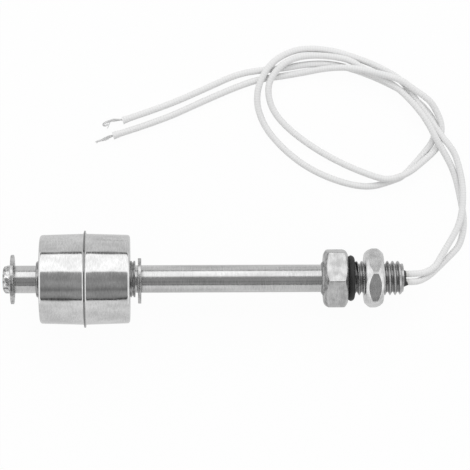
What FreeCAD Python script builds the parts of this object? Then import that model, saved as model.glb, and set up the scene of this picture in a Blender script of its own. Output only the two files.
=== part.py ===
"""A stainless float level switch, lying on a table with its two leads looped beside it.

The stem carries a float between two retaining clips. A ring magnet in the float closes the
reed contact sealed in the stem. The threaded stud clamps the switch in a tank wall, with the
O-ring inside and the lock nut outside.

Frame: the origin is the middle of the hexagon's sealing face, +X runs along the stem towards
the stud, +Z is up from the table. Lengths are millimetres.
"""

import FreeCAD, Part
import math
import os
import Sketcher
from FreeCAD import Placement, Rotation, Vector

SIZES = {
    # stem
    "insertion_length": 100.0,
    "stem_diameter": 8.0,
    "stem_wall": 1.0,
    "stem_socket_depth": 5.5,
    "stem_socket_clearance": 0.02,
    "end_plug_head": 1.4,
    "end_plug_spigot": 3.0,
    "end_plug_clearance": 0.03,
    "end_bead_radius": 0.9,
    # hexagon and stud
    "hex_across_flats": 16.0,
    "hex_length": 6.9,
    "hex_back_face_diameter": 14.4,
    "hex_seal_face_diameter": 14.4,
    "hex_chamfer_angle": 30.0,
    "weld_length": 0.8,
    "weld_diameter": 10.0,
    "stud_diameter": 10.0,
    "stud_length": 16.2,
    "stud_end_chamfer": 0.9,
    "stud_bore": 6.2,
    "undercut_diameter": 9.2,
    "undercut_length": 2.2,
    "undercut_ramp": 0.4,
    # seal
    "seal_section": 2.0,
    "seal_clearance": 0.03,
    # lock nut
    "nut_thickness": 5.3,
    "nut_station": 5.0,
    "nut_face_diameter": 14.6,
    "nut_chamfer_angle": 46.0,
    "nut_running_clearance": 0.05,
    "nut_mouth_chamfer": 0.6,
    # retaining clips
    "clip_groove_diameter": 7.0,
    "clip_groove_width": 1.0,
    "clip_thickness": 0.9,
    "clip_diameter": 14.3,
    "clip_window_diameter": 10.6,
    "clip_seat_clearance": 0.02,
    "lower_clip_station": 97.2,
    "upper_clip_station": 60.4,
    # float
    "float_station": 76.2,
    "float_half_length": 13.05,
    "float_wall": 0.25,
    "float_middle_diameter": 26.4,
    "float_end_diameter": 25.7,
    "float_corner_radius": 0.9,
    "seam_flange": 0.9,
    "seam_thickness": 0.5,
    "float_bore": 9.5,
    "bore_tube_wall": 0.25,
    "lower_hub_overhang": 1.1,
    "upper_hub_overhang": 1.5,
    "hub_collar_diameter": 10.6,
    "hub_collar_clearance": 0.05,
    "hub_ridge_width": 0.5,
    "hub_groove_width": 0.4,
    "hub_groove_depth": 0.15,
    "shell_weld_clearance": 0.02,
    # magnet
    "magnet_length": 5.0,
    "magnet_diameter": 14.4,
    "carrier_running_gap": 0.3,
    "carrier_wall": 0.5,
    "carrier_flange": 0.8,
    "carrier_flange_diameter": 15.0,
    "magnet_fit": 0.05,
    # reed contact
    "reed_station": 75.5,
    "glass_length": 14.0,
    "glass_diameter": 2.0,
    "glass_wall": 0.25,
    "glass_seal_length": 1.6,
    "blade_lead_diameter": 0.6,
    "blade_tail": 3.5,
    "blade_thickness": 0.25,
    "blade_width": 1.0,
    "blade_overlap": 1.2,
    "contact_gap": 0.15,
    "sleeve_wall": 0.17,
    "sleeve_overhang": 1.2,
    "inner_fit": 0.03,
    "splice_length": 2.4,
    "splice_wall": 0.25,
    "inner_stripped_length": 4.0,
    # leads and potting
    "lead_diameter": 1.9,
    "lead_offset": 1.15,
    "conductor_diameter": 0.9,
    "stripped_length": 5.7,
    "potting_depth": 10.4,
    "potting_proud": 1.6,
    "potting_mouth_diameter": 5.4,
    "potting_crown_diameter": 4.8,
    "lead_exit_run": 1.6,
}

HEX_TURN = 6.3
NUT_TURN = -9.7
LOWER_CLIP_TURN = 4.0
UPPER_CLIP_TURN = 90.0

doc = FreeCAD.newDocument("FloatLevelSwitch")
sheet = doc.addObject("Spreadsheet::Sheet", "Sizes")
for row, (name, value) in enumerate(SIZES.items(), start=1):
    sheet.set(f"A{row}", name)
    sheet.set(f"B{row}", str(value))
    sheet.setAlias(f"B{row}", name)
doc.recompute()


class Dim:
    """A length that keeps both its number and the sheet expression that gives it."""

    def __init__(self, number, text):
        self.number = number
        self.text = text

    def __add__(self, other):
        other = dim(other)
        return Dim(self.number + other.number, f"({self.text} + {other.text})")

    def __sub__(self, other):
        other = dim(other)
        return Dim(self.number - other.number, f"({self.text} - {other.text})")

    def __mul__(self, factor):
        factor = dim(factor)
        return Dim(self.number * factor.number, f"({self.text} * {factor.text})")

    def __truediv__(self, divisor):
        divisor = dim(divisor)
        return Dim(self.number / divisor.number, f"({self.text} / {divisor.text})")

    def __neg__(self):
        return Dim(-self.number, f"(-1 * {self.text})")


def dim(value):
    """The value as a Dim, whether it is one already or a plain number."""
    if isinstance(value, Dim):
        return value
    return Dim(float(value), repr(float(value)))


def size(name):
    """A driving size by its name in the sheet."""
    return Dim(SIZES[name], f"Sizes.{name}")


# Helpers that draw on a body's own planes.


def new_body(name):
    body = doc.addObject("PartDesign::Body", name)
    body.Label = name
    return body


def new_sketch(body, name, plane):
    """A sketch on one of the body's own origin planes."""
    sketch = body.newObject("Sketcher::SketchObject", name)
    feature = next(f for f in body.Origin.OriginFeatures if f.Role == plane)
    sketch.AttachmentSupport = (feature, "")
    sketch.MapMode = "FlatFace"
    return sketch


def pin_point(sketch, edge, end, x, y):
    """Ties a point of the sketch to its two distances from the origin."""
    for kind, axis, value in (("DistanceX", -2, x), ("DistanceY", -1, y)):
        value = dim(value)
        if value.text in ("0.0", "-0.0"):
            sketch.addConstraint(Sketcher.Constraint("PointOnObject", edge, end, axis))
            continue
        constraint = Sketcher.Constraint(kind, -1, 1, edge, end, value.number)
        index = sketch.addConstraint(constraint)
        sketch.setExpression(f"Constraints[{index}]", value.text)


def arc_between(start, stop, radius, left):
    """The minor arc from start to stop, with its centre on the left or the right of the way."""
    chord = stop.sub(start)
    half = chord.Length / 2
    middle = start.add(stop).multiply(0.5)
    side = Vector(-chord.y, chord.x, 0).normalize()
    rise = math.sqrt(max(radius**2 - half**2, 0.0))
    centre = middle.add(side.multiply(rise if left else -rise))
    out = middle.sub(centre)
    if out.Length < 1e-9:
        out = Vector(chord.y, -chord.x, 0) if left else Vector(-chord.y, chord.x, 0)
    return Part.Arc(start, centre.add(out.normalize().multiply(radius)), stop)


def outline(sketch, corners):
    """A closed outline through the corners, each (x, y) or, at the end of an arc, (x, y, radius, left)."""
    count = len(corners)
    spots = [Vector(dim(c[0]).number, dim(c[1]).number, 0) for c in corners]
    first = sketch.GeometryCount
    for i in range(count):
        start, stop, target = spots[i], spots[(i + 1) % count], corners[(i + 1) % count]
        if len(target) == 2:
            sketch.addGeometry(Part.LineSegment(start, stop), False)
        else:
            sketch.addGeometry(arc_between(start, stop, dim(target[2]).number, target[3]), False)
    ends = []
    for i in range(count):
        target = corners[(i + 1) % count]
        backwards = len(target) == 4 and not target[3]
        ends.append((2, 1) if backwards else (1, 2))
    for i in range(count):
        following = (i + 1) % count
        sketch.addConstraint(
            Sketcher.Constraint("Coincident", first + i, ends[i][1], first + following, ends[following][0])
        )
    for i, corner in enumerate(corners):
        pin_point(sketch, first + i, ends[i][0], corner[0], corner[1])
        target = corners[(i + 1) % count]
        if len(target) == 4:
            index = sketch.addConstraint(Sketcher.Constraint("Radius", first + i, dim(target[2]).number))
            sketch.setExpression(f"Constraints[{index}]", dim(target[2]).text)


def circle(sketch, x, y, radius):
    """A circle with its centre tied to the origin and its radius to the sheet."""
    spot = Vector(dim(x).number, dim(y).number, 0)
    edge = sketch.addGeometry(Part.Circle(spot, Vector(0, 0, 1), dim(radius).number), False)
    pin_point(sketch, edge, 3, x, y)
    index = sketch.addConstraint(Sketcher.Constraint("Radius", edge, dim(radius).number))
    sketch.setExpression(f"Constraints[{index}]", dim(radius).text)


def turned(body, name, corners, cut=False):
    """Turns an outline, drawn as (along the axis, radius), about the body's X axis."""
    sketch = new_sketch(body, f"{name}_outline", "XY_Plane")
    outline(sketch, corners)
    feature = body.newObject("PartDesign::Groove" if cut else "PartDesign::Revolution", name)
    feature.Profile = sketch
    feature.ReferenceAxis = (sketch, ["H_Axis"])
    feature.Angle = 360
    body.Tip = feature
    return feature


def padded(body, name, sketch, length):
    """Pads a sketch of the YZ plane along +X."""
    feature = body.newObject("PartDesign::Pad", name)
    feature.Profile = sketch
    feature.setExpression("Length", dim(length).text)
    body.Tip = feature
    return feature


def hexagon(sketch, across_flats):
    """A hexagon about the origin, with corners up and down."""
    reach = across_flats / math.sqrt(3)
    corners = []
    for k in range(6):
        angle = math.radians(60 * k + 90)
        corners.append((reach * round(math.cos(angle), 9), reach * round(math.sin(angle), 9)))
    outline(sketch, corners)


def slope(name):
    """The rise of a chamfer for each length across, from its named angle to the end face."""
    return Dim(math.tan(math.radians(SIZES[name])), f"tan(Sizes.{name} * 1 deg)")


def corner_cone(body, name, face_radius, face, rise):
    """Takes a hexagon's corners off, from a circle on its end face; a negative rise cuts backwards."""
    overshoot = face_radius * 0.5
    edge = face + overshoot * rise
    turned(
        body,
        name,
        [(face, face_radius), (edge, face_radius + overshoot), (face, face_radius + overshoot)],
        cut=True,
    )


def ring_piece(name, length, inner, outer):
    """A plain turned sleeve from its two radii."""
    body = new_body(name)
    turned(body, f"{name}_turning", [(0, inner), (length, inner), (length, outer), (0, outer)])
    return body


# How the switch lies: the float's seam and a corner of the lock nut touch the table.

seam_radius = size("float_middle_diameter") / 2 + size("seam_flange")
nut_corner_radius = SIZES["hex_across_flats"] / math.sqrt(3)
nut_corner_reach = nut_corner_radius * math.cos(math.radians(NUT_TURN))
nut_corner_cone = (nut_corner_radius - SIZES["nut_face_diameter"] / 2) * slope("nut_chamfer_angle").number
nut_rest_point = SIZES["nut_station"] + SIZES["nut_thickness"] - nut_corner_cone
lying_angle = math.atan(
    (seam_radius.number - nut_corner_reach) / (nut_rest_point + SIZES["float_station"])
)
axis_height = seam_radius.number * math.cos(lying_angle) - SIZES["float_station"] * math.sin(lying_angle)
LYING = Placement(Vector(0, 0, 0), Rotation(Vector(0, 1, 0), math.degrees(lying_angle)))


def place(body, station, turn=0.0, across=0.0, flipped=False):
    """Sets a piece at its station on the stem's axis, turned about it and moved across it."""
    along = Placement(Vector(dim(station).number, dim(across).number, 0), Rotation())
    spin = Placement(Vector(0, 0, 0), Rotation(Vector(1, 0, 0), turn))
    flip = Placement(Vector(0, 0, 0), Rotation(Vector(0, 0, 1), 180 if flipped else 0))
    body.Placement = LYING.multiply(along).multiply(spin).multiply(flip)


# Hexagon and stud: one turned piece of hexagon bar, with the weld to the stem at its back.

hex_start = size("weld_length")
hex_end = hex_start + size("hex_length")
stud_end = hex_end + size("stud_length")
undercut_end = hex_end + size("undercut_length")
stud_radius = size("stud_diameter") / 2
undercut_radius = size("undercut_diameter") / 2
socket_radius = size("stem_diameter") / 2 + size("stem_socket_clearance")
socket_floor = hex_start + size("stem_socket_depth")
bore_radius = size("stud_bore") / 2

hex_fitting = new_body("hex_fitting")
hex_sketch = new_sketch(hex_fitting, "hex_outline", "YZ_Plane")
hexagon(hex_sketch, size("hex_across_flats"))
hex_pad = padded(hex_fitting, "hex_pad", hex_sketch, size("hex_length"))
hex_sketch.AttachmentOffset = Placement(Vector(0, 0, hex_start.number), Rotation())
hex_sketch.setExpression("AttachmentOffset.Base.z", hex_start.text)
corner_cone(hex_fitting, "hex_back_corners", size("hex_back_face_diameter") / 2, hex_start, slope("hex_chamfer_angle"))
corner_cone(hex_fitting, "hex_front_corners", size("hex_seal_face_diameter") / 2, hex_end, -slope("hex_chamfer_angle"))
turned(
    hex_fitting,
    "stud",
    [
        (hex_end - 1, 0),
        (hex_end - 1, undercut_radius),
        (undercut_end - size("undercut_ramp"), undercut_radius),
        (undercut_end, stud_radius),
        (stud_end - size("stud_end_chamfer"), stud_radius),
        (stud_end, stud_radius - size("stud_end_chamfer")),
        (stud_end, 0),
    ],
)
turned(
    hex_fitting,
    "stem_weld",
    [
        (0, 0),
        (0, socket_radius + 0.1),
        (hex_start, size("weld_diameter") / 2, size("weld_length") * 1.3, False),
        (hex_start + 0.5, size("weld_diameter") / 2),
        (hex_start + 0.5, 0),
    ],
)
turned(
    hex_fitting,
    "through_bore",
    [
        (0, 0),
        (0, socket_radius),
        (socket_floor, socket_radius),
        (socket_floor, bore_radius),
        (stud_end, bore_radius),
        (stud_end, 0),
    ],
    cut=True,
)
place(hex_fitting, -hex_end, turn=HEX_TURN)


# Stem: a thin tube with a groove for each clip, plugged and welded at its lower end.

tube_start = -size("insertion_length") + size("end_plug_head")
tube_length = socket_floor - hex_end - tube_start
stem_radius = size("stem_diameter") / 2
stem_inside = stem_radius - size("stem_wall")
groove_radius = size("clip_groove_diameter") / 2

stem_tube = new_body("stem_tube")
turned(
    stem_tube,
    "tube",
    [(0, stem_inside), (tube_length, stem_inside), (tube_length, stem_radius), (0, stem_radius)],
)
for clip in ("lower", "upper"):
    groove_start = -size(f"{clip}_clip_station") - tube_start - size("clip_groove_width") / 2
    groove_stop = groove_start + size("clip_groove_width")
    turned(
        stem_tube,
        f"{clip}_clip_groove",
        [
            (groove_start, groove_radius),
            (groove_stop, groove_radius),
            (groove_stop, stem_radius + 1),
            (groove_start, stem_radius + 1),
        ],
        cut=True,
    )
place(stem_tube, tube_start)

stem_end_plug = new_body("stem_end_plug")
spigot_radius = stem_inside - size("end_plug_clearance")
turned(
    stem_end_plug,
    "plug",
    [
        (0, 0),
        (0, stem_radius - size("end_bead_radius")),
        (size("end_bead_radius"), stem_radius, size("end_bead_radius"), False),
        (size("end_plug_head"), stem_radius),
        (size("end_plug_head"), spigot_radius),
        (size("end_plug_head") + size("end_plug_spigot"), spigot_radius),
        (size("end_plug_head") + size("end_plug_spigot"), 0),
    ],
)
place(stem_end_plug, -size("insertion_length"))


# O-ring: it sits in the undercut against the sealing face.

seal_radius = size("seal_section") / 2
seal_middle = undercut_radius + seal_radius + size("seal_clearance")
o_ring_seal = new_body("o_ring_seal")
seal_sketch = new_sketch(o_ring_seal, "seal_section", "XY_Plane")
circle(seal_sketch, seal_radius, seal_middle, seal_radius)
seal_ring = o_ring_seal.newObject("PartDesign::Revolution", "seal_ring")
seal_ring.Profile = seal_sketch
seal_ring.ReferenceAxis = (seal_sketch, ["H_Axis"])
seal_ring.Angle = 360
place(o_ring_seal, size("seal_clearance"))


# Lock nut: chamfered on both faces, with a running fit on the stud.

nut_bore = stud_radius + size("nut_running_clearance")
nut_mouth = nut_bore + size("nut_mouth_chamfer")
lock_nut = new_body("lock_nut")
nut_sketch = new_sketch(lock_nut, "nut_outline", "YZ_Plane")
hexagon(nut_sketch, size("hex_across_flats"))
padded(lock_nut, "nut_pad", nut_sketch, size("nut_thickness"))
corner_cone(lock_nut, "nut_inner_corners", size("nut_face_diameter") / 2, dim(0), slope("nut_chamfer_angle"))
corner_cone(
    lock_nut, "nut_outer_corners", size("nut_face_diameter") / 2, size("nut_thickness"), -slope("nut_chamfer_angle")
)
turned(
    lock_nut,
    "nut_bore",
    [
        (0, 0),
        (0, nut_mouth),
        (size("nut_mouth_chamfer"), nut_bore),
        (size("nut_thickness") - size("nut_mouth_chamfer"), nut_bore),
        (size("nut_thickness"), nut_mouth),
        (size("nut_thickness"), 0),
    ],
    cut=True,
)
place(lock_nut, size("nut_station"), turn=NUT_TURN)


# Retaining clips: E-shaped spring steel, gripping the groove with three prongs.

clip_grip = groove_radius + size("clip_seat_clearance")
clip_outer = size("clip_diameter") / 2
clip_window = size("clip_window_diameter") / 2
CLIP_ANGLES = {
    "mouth_outer": -58.0,
    "mouth_inner": -34.0,
    "side_prong": -6.0,
    "middle_prong": 72.0,
}


def polar(radius, degrees):
    """A point at a radius and an angle."""
    angle = math.radians(degrees)
    return (radius * math.cos(angle), radius * math.sin(angle))


def retaining_clip(name):
    """The clip lies in the YZ plane with its mouth down."""
    mouth_outer = CLIP_ANGLES["mouth_outer"]
    mouth_inner = CLIP_ANGLES["mouth_inner"]
    side = CLIP_ANGLES["side_prong"]
    middle = CLIP_ANGLES["middle_prong"]
    body = new_body(name)
    sketch = new_sketch(body, f"{name}_outline", "YZ_Plane")
    outline(
        sketch,
        [
            polar(clip_outer, mouth_outer),
            (*polar(clip_outer, 90), clip_outer, True),
            (*polar(clip_outer, 180 - mouth_outer), clip_outer, True),
            polar(clip_grip, 180 - mouth_inner),
            (*polar(clip_grip, 180 - side), clip_grip, False),
            polar(clip_window, 180 - side),
            (*polar(clip_window, 180 - middle), clip_window, False),
            polar(clip_grip, 180 - middle),
            (*polar(clip_grip, middle), clip_grip, False),
            polar(clip_window, middle),
            (*polar(clip_window, side), clip_window, False),
            polar(clip_grip, side),
            (*polar(clip_grip, mouth_inner), clip_grip, False),
        ],
    )
    padded(body, f"{name}_stamping", sketch, size("clip_thickness"))
    return body


lower_e_clip = retaining_clip("lower_e_clip")
place(lower_e_clip, -size("lower_clip_station") - size("clip_thickness") / 2, turn=LOWER_CLIP_TURN)
upper_e_clip = retaining_clip("upper_e_clip")
place(upper_e_clip, -size("upper_clip_station") - size("clip_thickness") / 2, turn=UPPER_CLIP_TURN)


# Float: two drawn cups, welded at a thin seam and to the tube that runs on the stem.

wall = size("float_wall")
half_length = size("float_half_length")
middle_radius = size("float_middle_diameter") / 2
end_radius = size("float_end_diameter") / 2
corner = size("float_corner_radius")
float_bore_radius = size("float_bore") / 2
bore_tube_radius = float_bore_radius + size("bore_tube_wall")
hub_hole = bore_tube_radius + size("shell_weld_clearance")


def float_cup(name):
    """A cup with its mouth, and half of the seam, at x = 0."""
    body = new_body(name)
    turned(
        body,
        f"{name}_drawing",
        [
            (0, middle_radius - wall),
            (0, seam_radius),
            (size("seam_thickness") / 2, seam_radius),
            (size("seam_thickness") / 2, middle_radius),
            (half_length - corner, end_radius),
            (half_length, end_radius - corner, corner, False),
            (half_length, hub_hole),
            (half_length - wall, hub_hole),
            (half_length - wall, end_radius - corner),
            (half_length - corner, end_radius - wall),
        ],
    )
    return body


float_upper_shell = float_cup("float_upper_shell")
place(float_upper_shell, -size("float_station"))
float_lower_shell = float_cup("float_lower_shell")
place(float_lower_shell, -size("float_station"), flipped=True)

lower_hub = size("lower_hub_overhang")
upper_hub = size("upper_hub_overhang")
hub_start = -half_length - lower_hub
tube_run = half_length * 2 + lower_hub + upper_hub
collar_radius = size("hub_collar_diameter") / 2
lower_collar = lower_hub - size("hub_collar_clearance")
upper_collar = tube_run - upper_hub + size("hub_collar_clearance")
hub_groove = bore_tube_radius - size("hub_groove_depth")
float_bore_tube = new_body("float_bore_tube")
turned(
    float_bore_tube,
    "bore_tube",
    [
        (0, float_bore_radius),
        (tube_run, float_bore_radius),
        (tube_run, collar_radius),
        (upper_collar + size("hub_ridge_width") + size("hub_groove_width"), collar_radius),
        (upper_collar + size("hub_ridge_width") + size("hub_groove_width"), hub_groove),
        (upper_collar + size("hub_ridge_width"), hub_groove),
        (upper_collar + size("hub_ridge_width"), collar_radius),
        (upper_collar, collar_radius),
        (upper_collar, bore_tube_radius),
        (lower_collar, bore_tube_radius),
        (lower_collar, collar_radius),
        (0, collar_radius),
    ],
)
place(float_bore_tube, hub_start - size("float_station"))


# Magnet: a ferrite ring on a moulded carrier round the float's bore tube.

carrier_inside = bore_tube_radius + size("carrier_running_gap")
carrier_outside = carrier_inside + size("carrier_wall")
magnet_bed = size("magnet_length") + size("magnet_fit") * 2
carrier_length = magnet_bed + size("carrier_flange") * 2
flange_radius = size("carrier_flange_diameter") / 2
magnet_carrier = new_body("magnet_carrier")
turned(
    magnet_carrier,
    "carrier",
    [
        (0, carrier_inside),
        (carrier_length, carrier_inside),
        (carrier_length, flange_radius),
        (carrier_length - size("carrier_flange"), flange_radius),
        (carrier_length - size("carrier_flange"), carrier_outside),
        (size("carrier_flange"), carrier_outside),
        (size("carrier_flange"), flange_radius),
        (0, flange_radius),
    ],
)
place(magnet_carrier, -size("float_station") - carrier_length / 2)
ring_magnet = ring_piece(
    "ring_magnet",
    size("magnet_length"),
    carrier_outside + size("magnet_fit"),
    size("magnet_diameter") / 2,
)
place(ring_magnet, -size("float_station") - size("magnet_length") / 2)


# Reed contact: two flattened blades sealed in a glass capsule, beside the return lead.

glass_length = size("glass_length")
glass_radius = size("glass_diameter") / 2
blade_lead_radius = size("blade_lead_diameter") / 2
glass_hole = blade_lead_radius + size("inner_fit")
seal_length = size("glass_seal_length")
reed_offset = size("lead_offset")
reed_glass = new_body("reed_glass")
turned(
    reed_glass,
    "capsule",
    [
        (0, glass_hole),
        (seal_length, glass_hole),
        (seal_length * 1.5, glass_radius - size("glass_wall")),
        (glass_length - seal_length * 1.5, glass_radius - size("glass_wall")),
        (glass_length - seal_length, glass_hole),
        (glass_length, glass_hole),
        (glass_length, glass_radius * 0.7),
        (glass_length - seal_length / 2, glass_radius),
        (seal_length / 2, glass_radius),
        (0, glass_radius * 0.7),
    ],
)
place(reed_glass, -size("reed_station") - glass_length / 2, across=reed_offset)


def reed_blade(name):
    """A round lead from x = 0 through the glass seal, then a flat blade past the capsule's middle."""
    body = new_body(name)
    flat_start = size("blade_tail") + seal_length * 1.5
    flat_length = glass_length / 2 + size("blade_overlap") / 2 - seal_length * 1.5
    turned(
        body,
        f"{name}_lead",
        [
            (0, 0),
            (0, blade_lead_radius),
            (flat_start + blade_lead_radius, blade_lead_radius),
            (flat_start + blade_lead_radius, 0),
        ],
    )
    sketch = new_sketch(body, f"{name}_section", "YZ_Plane")
    low = size("contact_gap") / 2
    high = low + size("blade_thickness")
    half = size("blade_width") / 2
    outline(sketch, [(-half, low), (half, low), (half, high), (-half, high)])
    sketch.setExpression("AttachmentOffset.Base.z", flat_start.text)
    padded(body, f"{name}_flat", sketch, flat_length)
    return body


blade_start = -size("reed_station") - glass_length / 2 - size("blade_tail")
blade_stop = -size("reed_station") + glass_length / 2 + size("blade_tail")
reed_blade_lower = reed_blade("reed_blade_lower")
place(reed_blade_lower, blade_start, across=reed_offset)
reed_blade_upper = reed_blade("reed_blade_upper")
place(reed_blade_upper, blade_stop, across=reed_offset, turn=180, flipped=True)

sleeve_inside = glass_radius + size("inner_fit")
reed_sleeve = ring_piece(
    "reed_sleeve",
    glass_length + size("sleeve_overhang") * 2,
    sleeve_inside,
    sleeve_inside + size("sleeve_wall"),
)
place(reed_sleeve, -size("reed_station") - glass_length / 2 - size("sleeve_overhang"), across=reed_offset)


# Inner leads: from the potting's face down the stem to the reed, joined by two crimped splices.

lead_radius = size("lead_diameter") / 2
conductor_radius = size("conductor_diameter") / 2
potting_face = size("stud_length") + size("potting_proud")
splice_inside = conductor_radius + size("inner_fit")


def inner_lead(name, start, across):
    """A straight lead with its stripped end at the reed's side."""
    body = new_body(name)
    length = potting_face - start
    turned(
        body,
        f"{name}_wire",
        [
            (0, 0),
            (0, conductor_radius),
            (size("inner_stripped_length"), conductor_radius),
            (size("inner_stripped_length"), lead_radius),
            (length, lead_radius),
            (length, 0),
        ],
    )
    place(body, start, across=across)


loop_start = blade_start - size("splice_length") / 2
inner_lead("lead_a_inner", blade_stop, reed_offset)
inner_lead("lead_b_inner", loop_start, -reed_offset)

return_conductor = new_body("return_conductor")
loop_sketch = new_sketch(return_conductor, "loop_section", "YZ_Plane")
circle(loop_sketch, reed_offset, 0, conductor_radius)
loop = return_conductor.newObject("PartDesign::Revolution", "loop")
loop.Profile = loop_sketch
loop.ReferenceAxis = (loop_sketch, ["V_Axis"])
loop.Angle = 180
leg_sketch = new_sketch(return_conductor, "leg_section", "YZ_Plane")
circle(leg_sketch, reed_offset, 0, conductor_radius)
padded(return_conductor, "leg", leg_sketch, size("splice_length") / 2)
place(return_conductor, loop_start)

for name, joint in (("splice_upper", blade_stop), ("splice_lower", blade_start)):
    barrel = ring_piece(name, size("splice_length"), splice_inside, splice_inside + size("splice_wall"))
    place(barrel, joint - size("splice_length") / 2, across=reed_offset)


# Potting: resin that fills the stud's bore round both leads and stands a little proud.

potting_radius = bore_radius - size("inner_fit")
potting_start = size("stud_length") - size("potting_depth")
potting_length = size("potting_depth") + size("potting_proud")
potting_plug = new_body("potting_plug")
turned(
    potting_plug,
    "resin",
    [
        (0, 0),
        (0, potting_radius),
        (size("potting_depth"), potting_radius),
        (size("potting_depth"), size("potting_mouth_diameter") / 2),
        (potting_length, size("potting_crown_diameter") / 2, size("potting_proud") * 2, False),
        (potting_length, 0),
    ],
)
hole_sketch = new_sketch(potting_plug, "lead_holes_outline", "YZ_Plane")
for side in (1, -1):
    circle(hole_sketch, reed_offset * side, 0, lead_radius + size("inner_fit"))
lead_holes = potting_plug.newObject("PartDesign::Pocket", "lead_holes")
lead_holes.Profile = hole_sketch
lead_holes.Type = 1
lead_holes.Midplane = True
potting_plug.Tip = lead_holes
place(potting_plug, potting_start)


# Leads: each lies on the table in two loops. Points are across the table, with the height over it.

ROUTES = {
    "lead_a": [
        (23.0, 1.5, 6.66), (25.9, 3.3, 5.25), (27.6, 6.2, 4.21), (30.6, 11.1, 3.53),
        (32.8, 15.0, 3.24), (33.8, 18.9, 3.15), (34.3, 23.5, 2.98), (34.0, 28.7, 2.77),
        (32.4, 35.3, 2.87), (30.8, 38.3, 3.31), (28.3, 41.3, 3.12), (24.7, 46.9, 2.93),
        (20.9, 52.3, 3.05), (16.7, 58.6, 2.34), (10.1, 62.5, 1.5), (3.1, 65.4, 1.05),
        (-4.1, 67.6, 1.0), (-11.1, 68.2, 1.3), (-16.2, 67.0, 2.0), (-21.5, 64.0, 2.86),
        (-24.9, 59.1, 3.12), (-26.3, 54.2, 2.71), (-25.9, 49.5, 1.75), (-23.6, 44.1, 1.17),
        (-18.6, 38.2, 1.0), (-11.4, 32.5, 1.0), (-2.3, 28.4, 1.0), (6.6, 26.8, 1.0),
        (14.0, 29.1, 1.0), (16.6, 30.2, 1.0), (20.5, 33.9, 1.0), (23.5, 37.5, 1.0),
        (25.5, 40.1, 1.0), (26.6, 43.7, 1.0), (25.2, 47.8, 1.0), (20.5, 52.9, 1.0),
        (12.0, 57.7, 1.0), (3.9, 61.1, 1.0), (-3.9, 63.3, 1.0), (-11.2, 63.3, 1.0),
        (-17.8, 61.8, 1.0), (-24.5, 61.3, 1.0), (-32.2, 60.3, 1.0), (-41.6, 56.6, 1.0),
        (-53.6, 51.3, 1.0), (-65.6, 46.7, 1.0),
    ],
    "lead_b": [
        (21.3, -0.9, 6.7), (24.4, 0.8, 4.4), (27.6, 3.8, 2.84), (30.7, 6.8, 1.82),
        (33.2, 9.4, 1.21), (34.5, 14.1, 1.0), (34.5, 18.3, 1.0), (33.8, 21.9, 1.0),
        (32.9, 26.8, 1.09), (31.4, 31.9, 1.83), (28.7, 36.9, 3.01), (26.5, 40.6, 4.03),
        (23.9, 45.7, 4.54), (21.0, 49.8, 4.51), (16.1, 55.2, 3.82), (10.7, 58.8, 3.04),
        (5.6, 61.2, 2.76), (1.8, 64.1, 2.54), (-3.7, 65.4, 2.23), (-10.8, 65.8, 2.31),
        (-15.9, 64.7, 2.79), (-20.0, 62.0, 3.07), (-22.5, 57.8, 3.03), (-22.6, 53.3, 2.55),
        (-20.9, 48.8, 1.72), (-17.0, 44.1, 1.29), (-10.4, 39.0, 1.25), (-2.4, 34.5, 1.62),
        (5.3, 31.1, 2.38), (11.9, 28.9, 2.97), (16.2, 29.9, 3.1), (19.2, 31.4, 2.92),
        (23.1, 34.7, 2.51), (27.1, 38.0, 1.44), (28.3, 42.0, 1.0), (28.4, 45.5, 1.44),
        (26.5, 49.9, 2.38), (24.2, 52.5, 3.72), (19.8, 55.4, 4.6), (16.4, 57.7, 4.98),
        (11.0, 59.4, 5.07), (5.6, 60.8, 4.82), (0.1, 61.7, 3.86), (-5.9, 61.6, 2.23),
        (-12.8, 60.4, 1.0), (-19.2, 59.3, 1.0), (-25.4, 58.6, 1.0), (-32.3, 56.6, 1.0),
        (-42.0, 52.7, 1.0), (-55.0, 47.3, 1.0), (-68.1, 42.6, 1.0),
    ],
}
ARC_SHARE = 0.45


def routed_wire(points, report):
    """Straight runs joined by tangent arcs, each as large as its two runs allow."""
    edges = []
    last = points[0]
    for before, here, after in zip(points, points[1:], points[2:]):
        back = before.sub(here)
        ahead = after.sub(here)
        trim = ARC_SHARE * min(back.Length, ahead.Length)
        turn = math.pi - back.getAngle(ahead)
        radius = trim / math.tan(turn / 2)
        back.normalize()
        ahead.normalize()
        entry = here.add(Vector(back).multiply(trim))
        leave = here.add(Vector(ahead).multiply(trim))
        inward = back.add(ahead).normalize()
        to_centre = radius / math.cos(turn / 2)
        top = here.add(Vector(inward).multiply(to_centre - radius))
        edges.append(Part.LineSegment(last, entry).toShape())
        edges.append(Part.Arc(entry, top, leave).toShape())
        last = leave
        report.append(radius)
    edges.append(Part.LineSegment(last, points[-1]).toShape())
    return Part.Wire(edges)


def tube_along(wire, radius):
    """A solid round tube swept along a wire."""
    start = wire.Edges[0].Vertexes[0].Point
    heading = wire.Edges[0].tangentAt(wire.Edges[0].FirstParameter)
    rim = Part.Wire([Part.makeCircle(radius, start, heading)])
    return wire.makePipeShell([rim], True, False)


def on_axis(station, across):
    """A point of the lying switch, from its station on the axis and its distance across."""
    return LYING.multVec(Vector(dim(station).number, dim(across).number, 0))


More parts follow.
